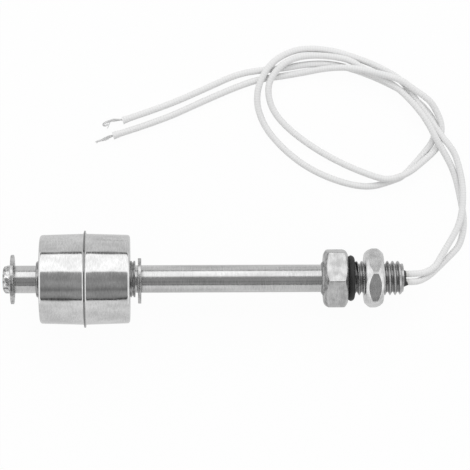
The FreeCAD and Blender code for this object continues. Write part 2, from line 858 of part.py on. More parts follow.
lead_length = {}
for name, across in (("lead_a", reed_offset), ("lead_b", -reed_offset)):
    points = [on_axis(potting_face, across), on_axis(potting_face + size("lead_exit_run"), across)]
    points += [Vector(x, y, z - axis_height) for x, y, z in ROUTES[name]]
    radii = []
    route = routed_wire(points, radii)
    lead = doc.addObject("Part::Feature", name)
    lead.Label = name
    lead.Shape = tube_along(route, lead_radius.number)
    swept = math.pi * lead_radius.number**2 * route.Length
    lead_length[name] = route.Length
    print(f"{name}: length {route.Length:.1f}, volume over section times length {lead.Shape.Volume / swept:.4f}")
    print("  radii " + ", ".join(f"{radius:.1f}" for radius in radii))
    heading = points[-1].sub(points[-2]).normalize()
    strands = doc.addObject("Part::Cylinder", f"{name}_strands")
    strands.Label = f"{name}_strands"
    strands.setExpression("Radius", conductor_radius.text)
    strands.setExpression("Height", size("stripped_length").text)
    strands.Placement = Placement(points[-1], Rotation(Vector(0, 0, 1), heading))


# Check every object, then write one file for each piece.

doc.recompute()
broken = [o.Name for o in doc.Objects if "Invalid" in o.State or "Error" in o.State]
if broken:
    raise SystemExit(f"failed features: {broken}")
pieces = [
    o
    for o in doc.Objects
    if o.isDerivedFrom("PartDesign::Body") or o.TypeId in ("Part::Feature", "Part::Cylinder")
]
os.makedirs("parts", exist_ok=True)
for piece in pieces:
    shape = piece.Shape
    if shape.isNull() or not shape.isValid() or len(shape.Solids) != 1:
        raise SystemExit(f"{piece.Label} is not one valid solid")
    shape.exportStep(f"parts/{piece.Label}.step")
print(f"{len(pieces)} pieces, lying at {math.degrees(lying_angle):.3f} degrees, axis {axis_height:.3f} over the table")
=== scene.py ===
"""Looks of a small stainless float level switch that lies on a table, its two leads beside it.

Lengths are in metres, and in millimetres where a name or a comment says mm. The switch's axis
dips towards its stud, so turned shapes are worked out in the stem's own frame: u along the stem
from the sealing face, v towards the leads, w up. on_stem() lays them down.
"""

import math

import bmesh
import bpy
import numpy as np
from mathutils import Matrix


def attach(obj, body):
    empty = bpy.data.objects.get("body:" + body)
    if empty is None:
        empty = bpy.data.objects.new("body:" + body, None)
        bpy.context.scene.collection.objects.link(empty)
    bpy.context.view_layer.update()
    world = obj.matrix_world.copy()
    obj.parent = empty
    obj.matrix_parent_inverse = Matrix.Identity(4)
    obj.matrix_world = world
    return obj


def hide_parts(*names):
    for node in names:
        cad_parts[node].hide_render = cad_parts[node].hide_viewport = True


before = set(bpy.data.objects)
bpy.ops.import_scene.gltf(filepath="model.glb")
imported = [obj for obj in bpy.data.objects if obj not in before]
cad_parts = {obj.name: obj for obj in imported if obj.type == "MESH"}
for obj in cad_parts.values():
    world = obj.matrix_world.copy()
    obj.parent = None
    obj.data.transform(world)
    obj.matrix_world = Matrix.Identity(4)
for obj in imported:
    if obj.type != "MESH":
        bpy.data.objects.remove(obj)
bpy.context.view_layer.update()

scene = bpy.context.scene


# Camera: 0.7 m above the switch, with its long side across the picture. It stands over the stem
# near the hexagon, so the float is seen a little from the stud's end, and the stud from the
# float's.

camera_data = bpy.data.cameras.new("camera")
camera_data.sensor_width = 36.0
camera_data.lens = 183.94
camera = bpy.data.objects.new("camera", camera_data)
camera.location = (-0.013659, 0.000620, 0.700)
camera.rotation_euler = (0.01716, 0.02718, -0.00404)
scene.collection.objects.link(camera)
scene.camera = camera


# Leads: stranded copper in white silicone with a thin glass braid over it, each 0.3 m long.
# They leave the potted bore side by side, go round twice and end stripped on the table.

LEAD_RADIUS = 0.00095
# control points of each lead's middle line, from the potting to the cut
ROUTES = {
    "lead_a": [
        (0.017769, 0.00115, -0.00105), (0.019366, 0.00115, -0.001145), (0.023, 0.0015, -0.002919),
        (0.0259, 0.0033, -0.004329), (0.0276, 0.0062, -0.005369), (0.0306, 0.0111, -0.006049),
        (0.0328, 0.015, -0.006339), (0.0338, 0.0189, -0.006429), (0.0343, 0.0235, -0.006599),
        (0.034, 0.0287, -0.006809), (0.0324, 0.0353, -0.006709), (0.0308, 0.0383, -0.006269),
        (0.0283, 0.0413, -0.006459), (0.02455, 0.0468, -0.006649), (0.0208, 0.052, -0.006529),
        (0.0166, 0.0583, -0.007239), (0.01, 0.0622, -0.008079), (0.003, 0.0651, -0.008529),
        (-0.0042, 0.0673, -0.008579), (-0.0112, 0.0679, -0.008279), (-0.0162, 0.067, -0.007579),
        (-0.0215, 0.064, -0.006719), (-0.0249, 0.0591, -0.006459), (-0.0263, 0.0542, -0.006869),
        (-0.0259, 0.0495, -0.007829), (-0.0236, 0.0441, -0.008409), (-0.0186, 0.0382, -0.008579),
        (-0.0114, 0.0325, -0.008579), (-0.0023, 0.0284, -0.008579), (0.0067, 0.0265, -0.008579),
        (0.0141, 0.0288, -0.008579), (0.0167, 0.0299, -0.008579), (0.0205, 0.0339, -0.008579),
        (0.0235, 0.0375, -0.008579), (0.0255, 0.0401, -0.008579), (0.0266, 0.0437, -0.008579),
        (0.0252, 0.0478, -0.008579), (0.0205, 0.0529, -0.008579), (0.012, 0.0577, -0.008579),
        (0.0039, 0.0611, -0.008579), (-0.0039, 0.0633, -0.008579), (-0.0112, 0.0633, -0.008579),
        (-0.0178, 0.0621, -0.008579), (-0.0245, 0.0616, -0.008579), (-0.0322, 0.0604, -0.008579),
        (-0.0416, 0.0561, -0.008579), (-0.0536, 0.0509, -0.008579), (-0.066, 0.0469, -0.008369),
    ],
    "lead_b": [
        (0.017769, -0.00115, -0.00105), (0.019366, -0.00115, -0.001145),
        (0.0213, -0.0009, -0.002879), (0.0244, 0.0008, -0.005179), (0.0276, 0.0038, -0.006739),
        (0.0307, 0.0068, -0.007759), (0.0332, 0.0094, -0.008369), (0.0345, 0.0141, -0.008579),
        (0.0345, 0.0183, -0.008579), (0.0338, 0.0219, -0.008579), (0.0329, 0.0268, -0.008489),
        (0.0314, 0.0319, -0.007749), (0.0287, 0.0369, -0.006569), (0.0265, 0.0406, -0.005549),
        (0.0239, 0.0457, -0.005039), (0.021, 0.0498, -0.005069), (0.0161, 0.0552, -0.005759),
        (0.0107, 0.0588, -0.006539), (0.0056, 0.0612, -0.006819), (0.0018, 0.0641, -0.007039),
        (-0.0037, 0.0654, -0.007349), (-0.0108, 0.0658, -0.007269), (-0.0159, 0.0647, -0.006789),
        (-0.02, 0.062, -0.006509), (-0.02275, 0.0578, -0.006549), (-0.02285, 0.0533, -0.007029),
        (-0.02115, 0.0488, -0.007859), (-0.017, 0.0441, -0.008289), (-0.0104, 0.039, -0.008329),
        (-0.00245, 0.0343, -0.007959), (0.00525, 0.0309, -0.007199), (0.01185, 0.0287, -0.006609),
        (0.0162, 0.0299, -0.006479), (0.0192, 0.0314, -0.006659), (0.0231, 0.0347, -0.007069),
        (0.02685, 0.038, -0.008139), (0.02805, 0.042, -0.008579), (0.02815, 0.0455, -0.008139),
        (0.02625, 0.0499, -0.007199), (0.0242, 0.0525, -0.005859), (0.0198, 0.0554, -0.004979),
        (0.0164, 0.058, -0.004599), (0.011, 0.0597, -0.004509), (0.0056, 0.0611, -0.004759),
        (0.0001, 0.062, -0.005719), (-0.0059, 0.0619, -0.007349), (-0.0128, 0.0607, -0.008579),
        (-0.0192, 0.0596, -0.008579), (-0.0254, 0.0589, -0.008579), (-0.0323, 0.0566, -0.008579),
        (-0.042, 0.0525, -0.008579), (-0.055, 0.0466, -0.008579), (-0.0688, 0.0424, -0.008369),
    ],
}
# the bare end's middle line from the cut, across the table and over its height there
TAIL_MM = {
    "lead_a": [
        (1.0, 0.35, 0.0), (-0.6, 0.15, 0.0), (-2.4, 0.15, 0.05), (-3.9, -0.2, 0.0),
        (-5.6, -0.75, -0.1), (-5.75, -1.45, -0.2), (-4.9, -1.5, -0.25), (-4.2, -1.1, -0.2),
    ],
    "lead_b": [
        (1.0, 0.35, 0.0), (-0.6, -0.1, 0.0), (-2.5, -1.0, 0.0), (-4.0, -1.5, -0.15),
        (-5.4, -1.85, -0.3),
    ],
}
# where the one wire ends that strays from the bundle, and how far the bundle's halves part
STRAY_MM = {"lead_a": (-4.5, -2.35, -0.35), "lead_b": (-5.0, -2.1, -0.3)}
PART = {"lead_a": 0.00006, "lead_b": 0.00016}
WIRES, WIRE_RADIUS, BUNDLE_RADIUS = 9, 0.00011, 0.00025
BUNDLE_TWIST = 0.0075  # the way along in which the bundle makes one turn
LEAD_COLUMNS, WIRE_COLUMNS = 20, 6
CUT_FLARE = 0.0014  # the way from the cut on which the braid spreads
CUT_DISH, DISH_RADIUS = 0.0006, 0.0005
YARNS, YARN_RUN = 8.0, 0.0015  # yarns each way round, and the run on which they cross twice


def linear(colour):
    """The linear numbers of an sRGB colour such as "#d8d8d6"."""
    channels = [int(colour[i : i + 2], 16) / 255 for i in (1, 3, 5)]
    light = [c / 12.92 if c <= 0.04045 else ((c + 0.055) / 1.055) ** 2.4 for c in channels]
    return (*light, 1.0)


def feed(tree, socket, value):
    """Gives a socket its value, either numbers or what another socket gives."""
    if isinstance(value, bpy.types.NodeSocket):
        tree.links.new(value, socket)
    else:
        socket.default_value = value


def add_node(tree, kind, inputs=None, **settings):
    """Adds one node with its settings, and feeds its inputs."""
    node = tree.nodes.new(f"ShaderNode{kind}")
    for key, value in settings.items():
        setattr(node, key, value)
    for key, value in (inputs or {}).items():
        feed(tree, node.inputs[key], value)
    return node


def reckon(tree, operation, *terms, **settings):
    """The socket of one step of arithmetic, such as ADD or SINE, on numbers or sockets."""
    inputs = dict(enumerate(terms))
    return add_node(tree, "Math", inputs, operation=operation, **settings).outputs[0]


def between(tree, value, start, stop, low=0.0, high=1.0):
    """The socket of low + (high - low) (value - start) / (stop - start), held at both ends."""
    inputs = {"Value": value, "From Min": start, "From Max": stop, "To Min": low, "To Max": high}
    return add_node(tree, "MapRange", inputs).outputs[0]


def mixed(tree, first, second, share):
    """The socket of a colour between two."""
    return add_node(tree, "Mix", {0: share, 6: first, 7: second}, data_type="RGBA").outputs[2]


def new_finish(name, colour, metallic, roughness, **sockets):
    """A material of one shader, with the values that are the same all over the surface."""
    finish = bpy.data.materials.new(name)
    finish.use_nodes = True
    shader = finish.node_tree.nodes["Principled BSDF"]
    shader.inputs["Base Color"].default_value = linear(colour)
    shader.inputs["Metallic"].default_value = metallic
    shader.inputs["Roughness"].default_value = roughness
    for key, value in sockets.items():
        shader.inputs[key].default_value = value
    return finish, finish.node_tree, shader


def tint(tree, shader, dull, bright, share):
    """Colours the surface between two sRGB colours."""
    feed(tree, shader.inputs["Base Color"], mixed(tree, linear(dull), linear(bright), share))


def raise_skin(tree, shader, height, strength, distance):
    """Lets a pattern raise the surface, by a distance in metres where the pattern is 1."""
    inputs = {"Strength": strength, "Distance": distance, "Height": height}
    feed(tree, shader.inputs["Normal"], add_node(tree, "Bump", inputs).outputs[0])


def smooth_line(points):
    """The points in the row frame of a smooth line that takes these as its control points."""
    curve = bpy.data.curves.new("line", "CURVE")
    curve.dimensions = "3D"
    curve.resolution_u = 12
    spline = curve.splines.new("NURBS")
    spline.points.add(len(points) - 1)
    controls = np.ones((len(points), 4))
    controls[:, :3] = points
    spline.points.foreach_set("co", controls.ravel())
    spline.order_u = 3
    spline.use_endpoint_u = True
    holder = bpy.data.objects.new("line", curve)
    mesh = bpy.data.meshes.new_from_object(holder)
    line = np.empty(len(mesh.vertices) * 3)
    mesh.vertices.foreach_get("co", line)
    bpy.data.objects.remove(holder)
    bpy.data.meshes.remove(mesh)
    return line.reshape(-1, 3)


def along(line):
    """The distance run so far at each point of a line, with the line's left and its own up."""
    steps = np.linalg.norm(np.diff(line, axis=0), axis=1)
    distance = np.concatenate([[0.0], np.cumsum(steps)])
    heading = np.gradient(line, distance, axis=0)
    heading /= np.linalg.norm(heading, axis=1, keepdims=True)
    left = np.cross([0.0, 0.0, 1.0], heading)
    left /= np.linalg.norm(left, axis=1, keepdims=True)
    return distance, left, np.cross(heading, left)


def round_wire(line, radius, columns):
    """Rings round a line: point = line + radius (left cos a + up sin a). Each ring may have a
    radius of its own."""
    _, left, up = along(line)
    turn = np.linspace(0, 2 * np.pi, columns, endpoint=False)[None, :, None]
    ring = left[:, None] * np.cos(turn) + up[:, None] * np.sin(turn)
    return line[:, None] + ring * np.broadcast_to(radius, len(line))[:, None, None]


def stand(name, mesh, finish, sharp, weld=True):
    """Merges the points that meet, turns the faces outwards, shades all smooth but the edges
    over `sharp` degrees, and puts the piece in the scene."""
    work = bmesh.new()
    work.from_mesh(mesh)
    if weld:
        bmesh.ops.remove_doubles(work, verts=work.verts, dist=1e-6)
        bmesh.ops.dissolve_degenerate(work, edges=work.edges, dist=1e-7)
    bmesh.ops.recalc_face_normals(work, faces=work.faces)
    work.to_mesh(mesh)
    work.free()
    mesh.shade_smooth()
    mesh.set_sharp_from_angle(angle=math.radians(sharp))
    mesh.materials.append(finish)
    piece = bpy.data.objects.new(name, mesh)
    scene.collection.objects.link(piece)
    return piece


def make_piece(name, skins, finish, body, sharp=40.0, runs=None):
    """One mesh from skins, each (points[row, column], shift); columns close on themselves,
    `shift` rows further on, and a row of equal points closes a pole. Runs give the way along at
    each row of a skin, for a pattern that follows it."""
    corners, faces, places, first = [], [], [], 0
    for index, (points, shift) in enumerate(skins):
        rows, columns = points.shape[:2]
        row, column = np.meshgrid(np.arange(rows - 1), np.arange(columns), indexing="ij")
        on = (column + 1) % columns
        jump = np.where(column + 1 == columns, shift, 0)
        low = np.minimum(row + jump, rows - 1) * columns + on
        high = np.minimum(row + 1 + jump, rows - 1) * columns + on
        quads = np.stack([row * columns + column, low, high, (row + 1) * columns + column], -1)
        corners.append(points.reshape(-1, 3))
        faces.append(quads.reshape(-1, 4) + first)
        if runs:
            across = np.stack([column, column + 1, column + 1, column], -1) / columns
            before, after = runs[index][row], runs[index][row + 1]
            run = np.stack([before, before, after, after], -1)
            places.append(np.stack([run, across], -1).reshape(-1, 2))
        first += rows * columns
    mesh = bpy.data.meshes.new(name)
    mesh.from_pydata(np.concatenate(corners), [], np.concatenate(faces).tolist())
    if runs:
        layer = mesh.uv_layers.new(name="length_and_turn")
        layer.data.foreach_set("uv", np.concatenate(places).ravel())
    piece = stand(name, mesh, finish, sharp)
    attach(piece, body)
    return piece


# A thin glass braid gives a faint crossed weave, with a soft sheen and no gloss.
braid, tree, shader = new_finish(
    "white_braided_silicone", "#f4f4f4", metallic=0.0, roughness=0.62,
    **{"Specular IOR Level": 0.3},
)
spot = add_node(tree, "UVMap", uv_map="length_and_turn").outputs[0]
parts = add_node(tree, "SeparateXYZ", {0: spot})
run = reckon(tree, "MULTIPLY", parts.outputs[0], 1 / YARN_RUN)
crests = []
for yarns in (YARNS, -YARNS):
    lean = reckon(tree, "MULTIPLY_ADD", parts.outputs[1], yarns, run)
    crests.append(reckon(tree, "SINE", reckon(tree, "MULTIPLY", lean, 2 * math.pi)))
weave = reckon(tree, "MULTIPLY", *crests)
spot = add_node(tree, "TexCoord").outputs["Object"]
fuzz = add_node(tree, "TexNoise", {"Scale": 2200.0, "Detail": 3.0, "Vector": spot})
relief = reckon(tree, "MULTIPLY_ADD", weave, 0.5, fuzz.outputs["Fac"])
raise_skin(tree, shader, relief, strength=0.25, distance=5e-5)
# painted shade: the braid is tinted darker where its weave lies low, plus a random fuzz in the tone
tint(tree, shader, "#e4e4e4", "#f4f4f4", between(tree, relief, -0.3, 1.2))

# Tinned copper wire, twisted, dulled and handled.
tinned, tree, shader = new_finish("tinned_copper", "#ececec", metallic=0.7, roughness=0.50)
spot = add_node(tree, "TexCoord").outputs["Object"]
dull = add_node(tree, "TexNoise", {"Scale": 1500.0, "Detail": 4.0, "Vector": spot})
tint(tree, shader, "#d8d8d8", "#ffffff", dull.outputs["Fac"])


def bare_end(name, tail, part, stray):
    """A twisted bundle along the tail: each wire = tail + spread (left cos a + up sin a), where a
    turns with the way run; halves part sideways by part sin(pi t), and one wire strays straight
    from half way to a point of its own."""
    line = smooth_line(tail)
    distance, left, up = along(line)
    t = distance / distance[-1]
    skins = []
    for wire in range(WIRES):
        turn = 2 * np.pi * (wire / WIRES + distance / BUNDLE_TWIST)
        spread = BUNDLE_RADIUS * (1 + 0.25 * np.sin(wire * 2.4 + 5 * t))
        spread *= 0.5 + 0.5 * np.sin(np.pi * t)
        aside = part * np.sin(np.pi * np.clip(t * 1.15, 0, 1)) ** 2 * (1 if wire % 2 else -1)
        path = line + left * (spread * np.cos(turn) + aside)[:, None]
        path += up * (spread * np.sin(turn) * 0.8)[:, None]
        if wire == 0:
            half = np.searchsorted(t, 0.5)
            way = ((t[half:] - t[half]) / (1 - t[half]))[:, None]
            path[half:] = path[half] * (1 - way) + stray * way
        path = path[: len(line) - (wire * 3) % 7]  # no two wires side by side end level
        ends = np.repeat(path[[0, -1], None], WIRE_COLUMNS, 1)
        skin = round_wire(path, WIRE_RADIUS, WIRE_COLUMNS)
        skins.append((np.concatenate([ends[:1], skin, ends[1:]]), 0))
    piece = make_piece(name, skins, tinned, "stem")
    return piece


for name, points in ROUTES.items():
    line = smooth_line(points)
    distance = along(line)[0]
    total = distance[-1]
    # the braid spreads where it was cut, and the end is dished round the wires
    flare = 1 + 0.24 * np.clip((distance - total + CUT_FLARE) / CUT_FLARE, 0, 1) ** 2
    # soft insulation is never quite even: within 1% of its diameter
    uneven = 1 + 0.010 * np.sin(distance / 0.0031) * np.sin(distance / 0.0113 + len(name))
    tube = round_wire(line, LEAD_RADIUS * flare * uneven, LEAD_COLUMNS)
    last_step = line[-1] - line[-2]
    dish = round_wire(line[-2:], DISH_RADIUS, LEAD_COLUMNS)[1:]
    dish = dish - last_step / np.linalg.norm(last_step) * CUT_DISH
    start = np.repeat(line[:1, None], LEAD_COLUMNS, 1)
    stop = np.repeat(dish.mean(axis=1, keepdims=True), LEAD_COLUMNS, 1)
    skin = np.concatenate([start, tube, dish, stop])
    run = np.concatenate([[0.0], distance, [total, total]])
    lead = make_piece(name + "_braided", [(skin, 0)], braid, "stem", sharp=60, runs=[run])
    tail = line[-1] + np.array(TAIL_MM[name]) / 1000
    stray = line[-1] + np.array(STRAY_MM[name]) / 1000
    strands = bare_end(name + "_bare_end", tail, PART[name], stray)
    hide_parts(name)
    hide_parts(name + "_strands")


# Stem: a ground tube of 8 mm with a groove for each clip, its lower end plugged and welded over.
# Grinding leaves fine rings, and the weld's heat leaves the tip rough and blotched.

TILT = 0.0590417
# outlines are (u, r) in mm, with the ease of a rounded corner as a third number
STEM_MM = [
    (-98.6, 3.0), (-98.6, 4.0, 0.06), (-97.7, 4.0, 0.06), (-97.7, 3.5), (-96.7, 3.5),
    (-96.7, 4.0, 0.06), (-60.9, 4.0, 0.06), (-60.9, 3.5), (-59.9, 3.5), (-59.9, 4.0, 0.06),
    (-1.4, 4.0), (-1.4, 3.0),
]
TIP_MM = [
    (-100.0, 0.0), (-100.0, 1.4), (-99.98, 2.4), (-99.88, 3.1), (-99.6, 3.6), (-99.2, 3.9),
    (-98.6, 4.02), (-97.9, 4.02, 0.1), (-97.9, 3.9), (-98.5, 2.9), (-95.6, 2.9), (-95.6, 0.0),
]


def on_stem(u, v, w):
    """Points of the row frame from the stem's own frame in mm; it dips by TILT about the Y axis."""
    u, v, w = np.broadcast_arrays(u, v, w)
    x = u * math.cos(TILT) + w * math.sin(TILT)
    z = w * math.cos(TILT) - u * math.sin(TILT)
    return np.stack([x, v, z], -1) / 1000


def eased(profile, ring=True):
    """A turned outline with its corners rounded: each corner (u, r, ease) becomes a short curve
    that starts and ends `ease` away from it, along its two sides."""
    corners = np.array([(c[0], c[1]) for c in profile], float)
    eases = [c[2] if len(c) > 2 else 0.0 for c in profile]
    points = []
    for i, (corner, ease) in enumerate(zip(corners, eases)):
        before, after = corners[i - 1], corners[(i + 1) % len(corners)]
        if not ease or (not ring and i in (0, len(corners) - 1)):
            points.append(corner)
            continue
        back, ahead = before - corner, after - corner
        start = corner + back / np.linalg.norm(back) * min(ease, 0.48 * np.linalg.norm(back))
        stop = corner + ahead / np.linalg.norm(ahead) * min(ease, 0.48 * np.linalg.norm(ahead))
        steps = 3 if ease < 0.3 else 8
        for t in np.linspace(0, 1, steps + 1):
            points.append((1 - t) ** 2 * start + 2 * t * (1 - t) * corner + t**2 * stop)
    if ring:
        points.append(points[0])
    return np.array(points)


def turned(profile, columns=96, ring=True, ripple=None):
    """The skin of an outline turned about the stem: v = r cos a, w = r sin a. A ripple(u, a)
    adds to r, away from the axis."""
    outline = eased(profile, ring)
    angle = np.linspace(0, 2 * np.pi, columns, endpoint=False)
    u = np.repeat(outline[:, :1], columns, 1)
    r = np.repeat(outline[:, 1:], columns, 1)
    if ripple:
        r = r + ripple(u, angle[None]) * (r > 0.5)
    return on_stem(u, r * np.cos(angle), r * np.sin(angle))


def stem_mm(tree):
    """The socket that gives a pattern its place in the stem's own frame, in mm."""
    spot = add_node(tree, "TexCoord").outputs["Object"]
    inputs = {"Scale": (1000.0, 1000.0, 1000.0), "Rotation": (0.0, -TILT, 0.0), "Vector": spot}
    return add_node(tree, "Mapping", inputs).outputs[0]


def streaks(tree, place, scale, detail=3.0):
    """The socket of a noise with its own scale along u, v and w, in patterns a mm: a low number
    gives long streaks."""
    stretched = add_node(tree, "Mapping", {"Scale": scale, "Vector": place}).outputs[0]
    inputs = {"Scale": 1.0, "Detail": detail, "Vector": stretched}
    return add_node(tree, "TexNoise", inputs).outputs["Fac"]


def steel_finish(name, dull, bright, roughness, spread, lines, waves):
    """Stainless steel: fine lines left by the tool and broad waves, each given as its patterns a
    mm and its relief in metres. Both vary the tone from dull to bright, and the lines vary the
    roughness by `spread` either way."""
    finish, tree, shader = new_finish(name, bright, 1.0, roughness)
    place = stem_mm(tree)
    fine = streaks(tree, place, lines[0])
    broad = streaks(tree, place, waves[0], 1.5)
    scored = {"Strength": 1.0, "Distance": lines[1], "Height": fine}
    wavy = {"Strength": 1.0, "Distance": waves[1], "Height": broad}
    wavy["Normal"] = add_node(tree, "Bump", scored).outputs[0]
    feed(tree, shader.inputs["Normal"], add_node(tree, "Bump", wavy).outputs[0])
    share = between(tree, reckon(tree, "ADD", fine, broad), 0.75, 1.25)
    tone = mixed(tree, linear(dull), linear(bright), share)
    feed(tree, shader.inputs["Base Color"], tone)
    gloss = between(tree, fine, 0.3, 0.7, roughness - spread, roughness + spread)
    feed(tree, shader.inputs["Roughness"], gloss)
    return finish, tree, shader, place, tone


ground_steel = steel_finish(
    "ground_stainless_stem", "#c2c2c2", "#e4e4e4", roughness=0.20, spread=0.05,
    lines=((9.0, 0.5, 0.5), 1.5e-6), waves=((0.05, 0.35, 0.35), 4e-6),
)[0]
stem = make_piece("stem_tube_ground", [(turned(STEM_MM), 0)], ground_steel, "stem")
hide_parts("stem_tube")


def weld_ripple(u, a):
    """Frozen puddles of the weld: three crossed waves round and along the tip, about 0.1 mm high
    together."""
    puddles = 0.05 * np.sin(7 * a + 2.1 * u) * np.sin(4.3 * u + 1.0)
    return puddles + 0.035 * np.sin(13 * a - 5 * u) + 0.02 * np.sin(23 * a + 9 * u)


weld_steel = steel_finish(
    "welded_stainless_tip", "#7c7c7c", "#f6f6f6", roughness=0.22, spread=0.10,
    lines=((1.4, 1.4, 1.4), 1.2e-4), waves=((0.7, 0.7, 0.7), 1.0e-4),
)[0]
tip_skin = turned(TIP_MM, ring=False, ripple=weld_ripple)
tip = make_piece("stem_tip_weld", [(tip_skin, 0)], weld_steel, "stem")
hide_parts("stem_end_plug")


# Clips: two spring steel E-clips, stamped, which grip the stem's grooves and stop the float.

CLIP_MM, WINDOW_MM, GRIP_MM = 7.15, 5.3, 3.55  # radii of its outside, its windows and prongs
STRIP_MM = 0.9
stamped_steel = steel_finish(
    "stamped_spring_steel", "#8e8e8e", "#dcdcdc", roughness=0.26, spread=0.08,
    lines=((1.5, 3.0, 3.0), 8e-6), waves=((0.5, 0.5, 0.5), 1.5e-5),
)[0]


def arc(radius, start, stop, steps):
    """Points of an arc, as v and w in mm, from one angle to another in degrees."""
    a = np.radians(np.linspace(start, stop, steps))
    return np.stack([radius * np.cos(a), radius * np.sin(a)], -1)


def e_clip(name, node, station, turn):
    """The stamping's outline, through its three prongs, pushed along u by the strip's thickness."""
    outline = np.concatenate([
        arc(CLIP_MM, -58, 238, 60), arc(GRIP_MM, 214, 186, 6), arc(WINDOW_MM, 186, 108, 16),
        arc(GRIP_MM, 108, 72, 8), arc(WINDOW_MM, 72, -6, 16), arc(GRIP_MM, -6, -34, 6),
    ])
    c, s = math.cos(math.radians(turn)), math.sin(math.radians(turn))
    v, w = outline[:, 0] * c - outline[:, 1] * s, outline[:, 0] * s + outline[:, 1] * c
    sides = on_stem(np.array([[station - STRIP_MM / 2], [station + STRIP_MM / 2]]), v, w)
    near = np.arange(len(outline))
    far = near + len(outline)
    walls = np.stack([near, np.roll(near, -1), np.roll(far, -1), far], -1).tolist()
    mesh = bpy.data.meshes.new(name)
    mesh.from_pydata(sides.reshape(-1, 3), [], walls + [near[::-1].tolist(), far.tolist()])
    clip = stand(name, mesh, stamped_steel, 35, weld=False)
    rounding = clip.modifiers.new("rounding", "BEVEL")
    rounding.width = 0.00012
    rounding.segments = 2
    rounding.limit_method = "ANGLE"
    rounding.angle_limit = math.radians(40)
    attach(clip, "stem")
    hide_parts(node)


e_clip("lower_clip_stamped", "lower_e_clip", station=-97.2, turn=4.0)
e_clip("upper_clip_stamped", "upper_e_clip", station=-60.4, turn=90.0)


# Float: two cups drawn from thin sheet and polished, welded at a narrow seam and to a tube
# that slides on the stem, with a collar of weld at each end.

FLOAT_MM = -76.2
# outlines with u from the seam: flange, long wall that tapers a little, drawn corner, end, inside
CUP_MM = [
    (0.0, 12.95), (0.0, 14.1), (0.25, 14.1, 0.16), (0.25, 13.2, 0.55), (13.05, 12.83, 0.95),
    (13.05, 5.02), (12.8, 5.02), (12.8, 12.58, 0.4),
]
HUB_MM = [
    (-14.15, 4.75, 0.05), (14.55, 4.75, 0.08), (14.55, 5.3, 0.2), (14.0, 5.3, 0.2), (14.0, 4.85),
    (13.6, 4.85), (13.6, 5.3, 0.2), (13.1, 5.3, 0.1), (13.1, 5.0), (-13.1, 5.0),
    (-13.1, 5.3, 0.1), (-13.75, 5.3, 0.25), (-14.15, 4.95, 0.12),
]
polished_steel, tree, shader, place, tone = steel_finish(
    "polished_drawn_stainless", "#cecece", "#e9e9e9", roughness=0.10, spread=0.035,
    lines=((2.6, 0.9, 0.9), 1.6e-6), waves=((0.16, 0.3, 0.3), 4.0e-5),
)
# painted shade: the steel within 0.4 mm of the seam is darkened, where shade falls in the seam's
# crevice
along_stem = add_node(tree, "SeparateXYZ", {0: place}).outputs[0]
beside = reckon(tree, "ABSOLUTE", reckon(tree, "SUBTRACT", along_stem, FLOAT_MM))
seam_shaded_tone = mixed(tree, tone, linear("#8e8e8e"), between(tree, beside, 0.4, 0.2))
feed(tree, shader.inputs["Base Color"], seam_shaded_tone)
# the weld's heat dulls both collars
heated_steel = steel_finish(
    "heat_dulled_collar", "#6c6c6c", "#c4c4c4", roughness=0.28, spread=0.08,
    lines=((3.0, 0.4, 0.4), 3e-6), waves=((0.4, 0.4, 0.4), 8e-6),
)[0]


def at_float(outline, side=1):
    """An outline moved to the float, or mirrored there for the cup on the other side."""
    return [(FLOAT_MM + side * u, *rest) for u, *rest in outline]


for name, node, side in (
    ("float_upper_cup", "float_upper_shell", 1),
    ("float_lower_cup", "float_lower_shell", -1),
):
    cup = turned(at_float(CUP_MM, side), columns=128)
    piece = make_piece(name, [(cup, 0)], polished_steel, "float_shell")
    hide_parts(node)

hub_skin = turned(at_float(HUB_MM))
hub = make_piece("float_tube_and_collars", [(hub_skin, 0)], heated_steel, "float_shell")
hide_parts("float_bore_tube")


# Hexagon and stud: one piece of 16 mm hexagon bar. The stud is cut M10 x 1.5, right-handed,
# with an undercut at the sealing face, and the stem is welded in at the back.

HALF_FLATS_MM = 8.0
HEX_TURN, HEX_LENGTH_MM, HEX_CIRCLE_MM = 6.3, 6.9, 7.2
HEX_SLOPE = math.tan(math.radians(30))
PITCH_MM, CREST_MM = 1.5, 1.2
# the thread through one pitch from a crest: flat top, flank at 30 degrees, round root
THREAD_MM = [
    (-0.1, 4.93), (-0.03, 5.0), (0.03, 5.0), (0.1, 4.93),
    (0.38, 4.15), (0.44, 4.08), (0.56, 4.08), (0.62, 4.15),
]
UNDERCUT_MM, UNDERCUT_RADIUS_MM = 1.8, 4.6
STUD_MM, STUD_END_RADIUS_MM = 16.2, 4.1


def hexagon_columns(turn, worn):
    """Angles round a hexagon, with each corner replaced by a pair `worn` degrees either side of
    it, and the reach of its flats there: half across flats / cos(angle from the flat's middle)."""
    spread = np.concatenate([[worn], np.linspace(4, 56, 14), [60 - worn]])
    angle = np.concatenate([90 + turn + 60 * k + spread for k in range(6)])
    from_flat = (angle - turn) % 60 - 60
    from_flat = np.where(from_flat < -30, from_flat + 60, from_flat)
    return np.radians(angle), HALF_FLATS_MM / np.cos(np.radians(from_flat))


def rings(angle, stations):
    """A skin from (u, r) pairs, where each is one number or one for each angle."""
    u = np.stack([np.broadcast_to(s[0], angle.shape) for s in stations])
    r = np.stack([np.broadcast_to(s[1], angle.shape) for s in stations])
    return on_stem(u, r * np.cos(angle), r * np.sin(angle))


def chamfered_end(face, inward, circle, slope, reach):
    """Stations from a hexagon's end face over its chamfer: the cone starts at the face's circle
    and meets each flat where it is as far out as the flat, and both edges are eased by 0.1 mm."""
    depth = (reach - circle) * slope
    back = 0.12 / np.maximum(depth, 0.24)
    return [
        (face, circle - 0.08), (face + inward * 0.04 * slope, circle + 0.05),
        (face + inward * depth * (1 - back), circle + (reach - circle) * (1 - back)),
        (face + inward * (depth + 0.1), reach), (face + inward * (depth + 0.14), reach),
    ]


